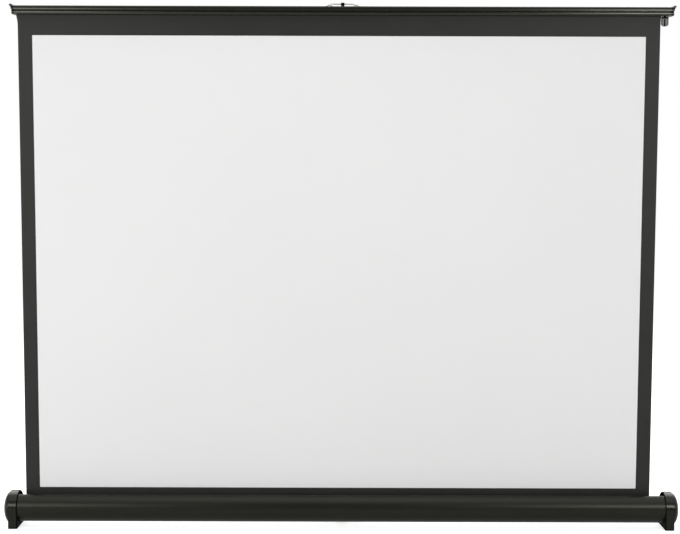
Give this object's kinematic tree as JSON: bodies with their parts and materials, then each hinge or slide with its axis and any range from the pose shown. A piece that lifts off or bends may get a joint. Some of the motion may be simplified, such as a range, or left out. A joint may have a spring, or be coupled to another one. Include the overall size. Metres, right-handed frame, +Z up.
{
  "type": "tabletop projection screen",
  "caption": "Black-bordered white screen that pulls up from a round spring-roller case on two feet and hangs by a wire bail from a folding telescopic pole.",
  "frame": {"origin": "middle of the footprint of the two feet, on the table", "axes": "+X along the case to the viewer's right, +Y away from the viewer, +Z up"},
  "size_m": [1.146, 0.1022, 0.8868],
  "materials": {
    "black_aluminium": "satin black anodised",
    "black_plastic": "glossy black moulding",
    "black_rubber": "matt",
    "plain_steel": "zinc plated",
    "bright_steel": "polished",
    "nylon": "natural",
    "white_fabric": "matt white panel with a black border",
    "black_fabric": "matt black back"
  },
  "bodies": {
    "case": {"case_tube": "black_aluminium", "end_cap_left": "black_plastic", "end_cap_right": "black_plastic", "dome_cover_left": "black_plastic", "dome_cover_right": "black_plastic", "foot_pad_left": "black_rubber", "foot_pad_right": "black_rubber", "cap_screw_left_bottom": "plain_steel", "cap_screw_left_rear": "plain_steel", "cap_screw_right_bottom": "plain_steel", "cap_screw_right_rear": "plain_steel", "spring_arbor": "plain_steel", "roller_bearing": "nylon", "pole_bracket": "black_plastic", "bracket_screw_left": "plain_steel", "bracket_screw_right": "plain_steel", "pivot_bolt": "plain_steel", "pivot_washer": "plain_steel", "screen_fabric": "white_fabric"},
    "roller": {"roller_tube": "plain_steel", "roller_plug_left": "nylon", "roller_plug_right": "nylon", "spring_drive_plug": "nylon", "torsion_spring": "plain_steel", "fabric_wrap": "black_fabric"},
    "bar": {"top_bar": "black_aluminium", "top_bar_end_left": "black_plastic", "top_bar_end_right": "black_plastic", "fabric_rod": "nylon", "closing_peg": "black_plastic", "bail_lug_left": "plain_steel", "bail_lug_right": "plain_steel", "lug_screw_left": "plain_steel", "lug_screw_right": "plain_steel"},
    "bail": {"bail": "bright_steel"},
    "lower_stage": {"pole_knuckle": "black_plastic", "pole_lower_tube": "black_aluminium"},
    "lower_collar": {"lower_twist_collar": "black_plastic"},
    "middle_stage": {"pole_middle_tube": "black_aluminium", "middle_tube_guide": "nylon"},
    "upper_collar": {"upper_twist_collar": "black_plastic"},
    "upper_stage": {"pole_upper_tube": "black_aluminium", "upper_tube_guide": "nylon", "pole_hook": "black_plastic"}
  },
  "joints": [
    {"name": "screen_lower", "type": "slide", "parent": "case", "child": "bar", "axis": [0, 0, 1], "range_m": [-0.812, 0], "deforming": ["screen_fabric"]},
    {"name": "roller_spin", "type": "hinge", "parent": "case", "child": "roller", "pos_m": [0, -0.03064, 0.0315], "axis": [1, 0, 0], "range_deg": [-3560, 0]},
    {"name": "bail_swing", "type": "hinge", "parent": "bar", "child": "bail", "pos_m": [0, -0.00604, 0.87826], "axis": [1, 0, 0], "range_deg": [0, 155]},
    {"name": "pole_fold", "type": "hinge", "parent": "case", "child": "lower_stage", "pos_m": [0, 0.02196, 0.0335], "axis": [0, 1, 0], "range_deg": [0, 90]},
    {"name": "lower_collar_twist", "type": "hinge", "parent": "lower_stage", "child": "lower_collar", "pos_m": [0, 0.02196, 0.3638], "axis": [0, 0, 1], "range_deg": [0, 120]},
    {"name": "middle_stage_slide", "type": "slide", "parent": "lower_stage", "child": "middle_stage", "axis": [0, 0, 1], "range_m": [-0.24, 0]},
    {"name": "upper_collar_twist", "type": "hinge", "parent": "middle_stage", "child": "upper_collar", "pos_m": [0, 0.02196, 0.6338], "axis": [0, 0, 1], "range_deg": [0, 120]},
    {"name": "upper_stage_slide", "type": "slide", "parent": "middle_stage", "child": "upper_stage", "axis": [0, 0, 1], "range_m": [-0.223, 0]}
  ],
  "couplings": [
    {"joint": "roller_spin", "follows": "screen_lower", "rad_per_m": 76.5}
  ]
}
